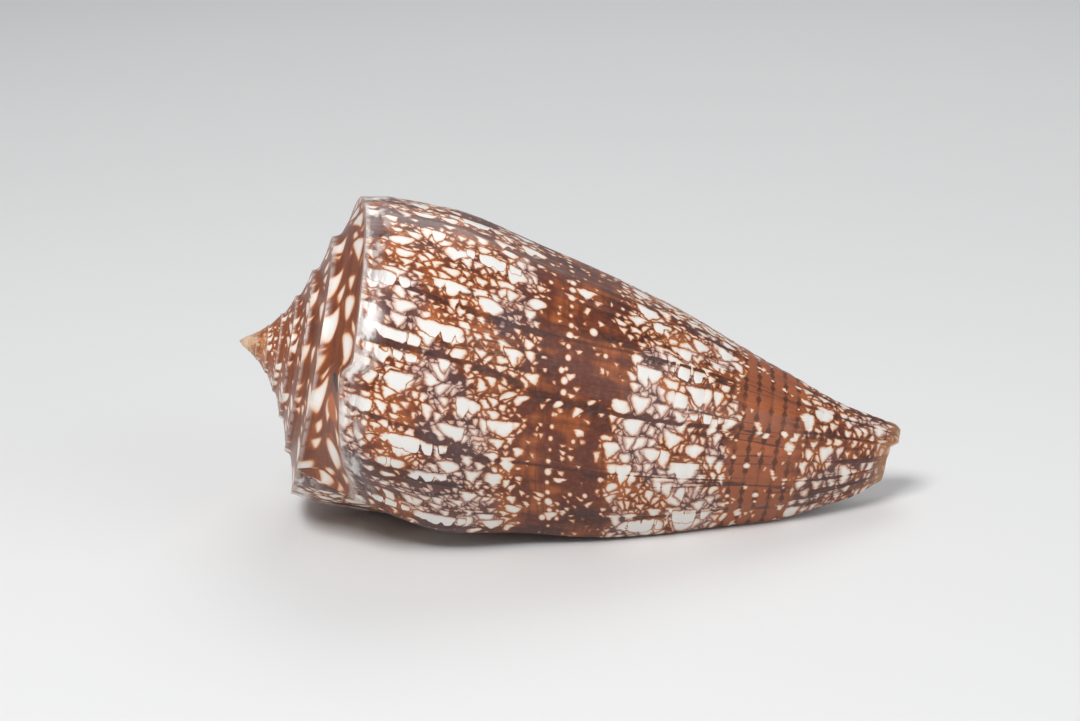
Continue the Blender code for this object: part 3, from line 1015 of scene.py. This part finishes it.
def bodyTents(tree, marks, turn, share, saw):
    pattern, along, across = unrolled(tree, turn, share)
    depth = None
    frontEnd = 1 + fan["front"] / fan["length"]
    for name, look in tentLayers.items():
        teeth = times(tree, saw, tentTeeth[name])
        layer = placeGroup(tree, marks, name + " tents", {
            **look, "Pattern": pattern, "Along": along, "Across": across, "Teeth": teeth})
        home = maths(tree, "MULTIPLY_ADD", layer["Home"], -1 / fan["length"], frontEnd)
        many = curveAlong(tree, home, tentShares[name])
        depth = laidUnder(tree, depth, chosen(tree, layer, many), tentShape["ground"])
    return depth


def spireTents(tree, marks, turn, share):
    depth = None
    for name, look in spirePatches.items():
        perTurn, rows, many = spireCells[name]
        strip = addNode(tree, "CombineXYZ", {0: times(tree, turn, perTurn), 1: times(tree, share, rows)})
        layer = placeGroup(tree, marks, name + " on the spire", {
            **look, "Pattern": strip, "Along": (1.0, 0.0, 0.0), "Across": (0.0, 1.0, 0.0), "Scale": 1.0,
            "Spread": spireShape["spread"]})
        size = spireShape["rampWidth"] / rows  # centimetres to a cell on the last whorl
        patches = times(tree, chosen(tree, layer, many), size)
        depth = laidUnder(tree, depth, patches, spireShape["ground"])
    return depth


def groovesFrom(tree, share, start):  # how many grooves further on
    return maths(tree, "DIVIDE", minus(tree, share, start), groovePitch)


# How deep each place lies in a pale mark, in centimetres, below 0 on the ground
def markDepth(tree, turn, share, skin):
    uneven = weighed(tree, grainMask(tree, (turn, share), "uneven"), "saw")
    saw = times(tree, minus(tree, skinSteps["sawReach"], skin["fromGroove"], clamp=True), uneven)
    marks, spots = tentGroup(), spotGroup()
    depth = bodyTents(tree, marks, turn, share, saw)
    pitch = spotStrings["bodyLength"] * groovePitch
    many = curveAlong(tree, share, spotStrings["many"])
    string = placeGroup(tree, spots, "groove spots", {
        "Phase": skin["groove"], "Turn": turn, "Pitch": pitch, "Many": many})
    fromOwn = groovesFrom(tree, share, spotStrings["ownColumn"])
    onOwn = maths(tree, "LESS_THAN", maths(tree, "ABSOLUTE", fromOwn), spotStrings["ownWidth"])
    own = placeGroup(tree, spots, "band spots", {
        "Phase": maths(tree, "ADD", fromOwn, 0.5), "Turn": turn, "Pitch": pitch, "Many": onOwn})
    depth = largest(tree, depth, largest(tree, string["Depth"], own["Depth"]))
    depth = maths(tree, "MULTIPLY_ADD", skin["rests"], skinAmounts["restOnTents"], depth)
    return addNode(tree, "Mix", {0: skin["onRamp"], 2: depth, 3: spireTents(tree, marks, turn, share)})


# Chestnut and orange streaks along growth lines, spiral lines in the bands, dark pauses, the spire's ground
def brownGround(tree, where, skin):
    ground = mixColours(tree, skin["warm"], skinColours["chestnut"], skinColours["orange"])
    spiral = times(tree, grainMask(tree, where, "spiral"), weighed(tree, skin["firstBand"], "spiral"))
    ground = tinted(tree, ground, spiral, "chestnut")
    rests = weighed(tree, skin["rests"], "restOnGround")
    pauses = largest(tree, grainMask(tree, where, "pauses"), rests)
    ground = tinted(tree, ground, weighed(tree, pauses, "pauses"), "dark")
    ground = tinted(tree, ground, weighed(tree, skin["secondBand"], "rust"), "rust")
    dusky = weighed(tree, grainMask(tree, where, "dusky"), "dusky")
    spire = mixColours(tree, dusky, skinColours["spire"], skinColours["chestnut"])
    spire = tinted(tree, spire, shown(tree, where[0], "early"), "orange")
    return mixColours(tree, weighed(tree, skin["onRamp"], "spire"), ground, spire)


def glazeOver(tree, where, skin):  # a violet glaze over parts of the body, outside the bands
    late = shown(tree, where[0], "lateGlaze")
    glaze = maths(tree, "ADD", grain(tree, where, "glaze"), late)
    glaze = smoothStep(tree, glaze, *skinGrains["glaze"]["mask"])
    bands = largest(tree, largest(tree, skin["firstBand"], skin["secondBand"]), skin["onRamp"])
    return times(tree, glaze, minus(tree, skinAmounts["mostGlaze"], bands, clamp=True))


def shadedGround(tree, where, ground, skin):  # a narrow warm halo round the tents, glaze, fine grain
    room = minus(tree, skinAmounts["halo"], skin["glaze"], clamp=True)
    halo = times(tree, stepped(tree, skin["depth"], "halo"), room)
    cold = skinAmounts["coldHalo"]
    halo = times(tree, halo, maths(tree, "MULTIPLY_ADD", skin["warm"], 1 - cold, cold))
    ground = tinted(tree, ground, halo, "orange")
    ground = tinted(tree, ground, skin["glaze"], "violet")
    fine = weighed(tree, grainMask(tree, where, "fine"), "fine")
    return tinted(tree, ground, fine, "grey")


def grooveDots(tree, where, skin):  # rows of dark dots on the grooves, most of all in the second band
    turn, share = where
    beads = fromHalf(tree, maths(tree, "FRACT", times(tree, turn, dotRow["perTurn"])))
    blots = grainMask(tree, (turn, maths(tree, "FLOOR", skin["groove"])), "blots")
    away = maths(tree, "ADD", skin["fromGroove"], times(tree, beads, dotRow["length"]))
    dots = times(tree, stepped(tree, away, "dots"), blots)
    line = shown(tree, skin["fromGroove"], "grooveLine")
    return times(tree, largest(tree, dots, line), curveAlong(tree, share, bandStops["dots"]))


def tentsOver(tree, ground, skin):  # the pale marks, dulled where the glaze lies over their edges
    tents = curveAlong(tree, skin["depth"], tentEdge, reach=tentEdgeReach)
    dull = times(tree, skin["glaze"], stepped(tree, skin["depth"], "dull"))
    tents = tinted(tree, tents, dull, "pink")
    return mixColours(tree, stepped(tree, skin["depth"], "tentEdge"), ground, tents)


def growthLines(tree, where, skin):  # thin dark lines that cut across the ground and the edges of tents
    lines = times(tree, grainLines(tree, where, "lines"), grainMask(tree, where, "lineParts"))
    offRamp = maths(tree, "MULTIPLY_ADD", skin["onRamp"], -skinAmounts["lines"], skinAmounts["lines"])
    return times(tree, times(tree, lines, offRamp), stepped(tree, skin["depth"], "linesEnd"))


# White patches and grey streaks along the keel, and a thin broken line on the keel and the suture
def shoulderOver(tree, where, colour, skin):
    turn, share = where
    fromKeel = addNode(tree, "Mix", {0: skin["onRamp"], 2: times(tree, share, keelDistance["body"]),
                                     3: times(tree, share, keelDistance["ramp"])})
    near = times(tree, stepped(tree, fromKeel, "shoulder"), minus(tree, 1.0, skin["onRamp"]))
    for name, tint in (("greyed", "grey"), ("patched", "white")):
        mask = times(tree, near, grainMask(tree, where, name))
        colour = tinted(tree, colour, weighed(tree, mask, name), tint)
    least, more = skinAmounts["keelLine"]
    broken = maths(tree, "MULTIPLY_ADD", grainMask(tree, where, "broken"), more, least)
    suture = stepped(tree, maths(tree, "ABSOLUTE", maths(tree, "ADD", share, 1.0)), "suture")
    line = times(tree, largest(tree, stepped(tree, fromKeel, "keelLine"), suture), broken)
    return tinted(tree, colour, line, "pale")


def scarOver(tree, where, colour):
    for spot in scarSpots.values():
        aside = [maths(tree, "DIVIDE", minus(tree, here, at), size)
                 for here, at, size in zip(where, spot["at"], spot["size"])]
        far = maths(tree, "ADD", *[times(tree, part, part) for part in aside])
        colour = tinted(tree, colour, smoothStep(tree, far, *scarSoftness), spot["colour"])
    return colour


def endsOver(tree, where, colour, skin):  # the orange front end, and the tan apex with brown spots
    turn = where[0]
    colour = tinted(tree, colour, shown(tree, skin["waver"], "front"), "tip")
    freckles = times(tree, grainMask(tree, where, "freckles"), stepped(tree, turn, "freckles"))
    tan = mixColours(tree, stepped(tree, turn, "tan"), skinColours["tip"], skinColours["apex"])
    tan = tinted(tree, tan, weighed(tree, freckles, "freckles"), "spire")
    return mixColours(tree, shown(tree, turn, "apex"), colour, tan)


# The lining darkens further back inside the hollow: painted shade
def liningOver(tree, where, colour):  # porcelain on the lip's edge and inside
    turn, share = where
    lining = mixColours(tree, stepped(tree, turn, "deepShade"), skinColours["porcelain"], skinColours["deepShade"])
    return mixColours(tree, stepped(tree, share, "inside"), colour, lining)


def skinMasks(tree, where):  # the values that more than one effect of the skin uses
    turn, share = where
    skin = {"onRamp": maths(tree, "LESS_THAN", share, 0.0)}
    wavering = minus(tree, grain(tree, where, "waver"), 0.5)
    skin["waver"] = maths(tree, "MULTIPLY_ADD", wavering, skinAmounts["waver"], share)
    skin["groove"] = groovesFrom(tree, share, relief["grooveStart"])
    skin["fromGroove"] = fromHalf(tree, maths(tree, "FRACT", skin["groove"]))
    skin["rests"] = grainLines(tree, where, "rests")
    skin["depth"] = markDepth(tree, turn, share, skin)
    skin["firstBand"] = curveAlong(tree, skin["waver"], bandStops["first"])
    skin["secondBand"] = curveAlong(tree, skin["waver"], bandStops["second"])
    streaks = times(tree, grain(tree, where, "streaks"), 0.5)
    warm = maths(tree, "MULTIPLY_ADD", grain(tree, where, "clouds"), 0.5, streaks)
    skin["warm"] = stepped(tree, warm, "warm")
    skin["glaze"] = glazeOver(tree, where, skin)
    return skin


def shellSkin():
    material, tree, surface = newMaterial("shellSkin")
    place = addNode(tree, "SeparateXYZ", {0: addNode(tree, "UVMap", {}, uv_map="place")}).node.outputs
    where = place[0], place[1]
    skin = skinMasks(tree, where)

    ground = brownGround(tree, where, skin)
    ground = shadedGround(tree, where, ground, skin)
    ground = tinted(tree, ground, grooveDots(tree, where, skin), "dark")
    colour = tentsOver(tree, ground, skin)
    colour = tinted(tree, colour, growthLines(tree, where, skin), "line")
    colour = shoulderOver(tree, where, colour, skin)
    colour = scarOver(tree, where, colour)
    colour = endsOver(tree, where, colour, skin)
    colour = liningOver(tree, where, colour)

    growth = grain(tree, where, "growth")
    bump = addNode(tree, "Bump", {
        "Strength": skinGloss["bumpStrength"], "Distance": skinGloss["bumpDistance"], "Height": growth})
    smooth, rougher = skinGloss["roughness"]
    roughness = maths(tree, "MULTIPLY_ADD", growth, rougher, smooth)
    feed(tree, surface, {
        "Base Color": colour, "Normal": bump, "Roughness": roughness, **skinGloss["sockets"]})
    return material


shell.data.materials.append(shellSkin())
print("shell skin made")

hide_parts("shell")
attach(shell, "root")
bpy.context.view_layer.update()
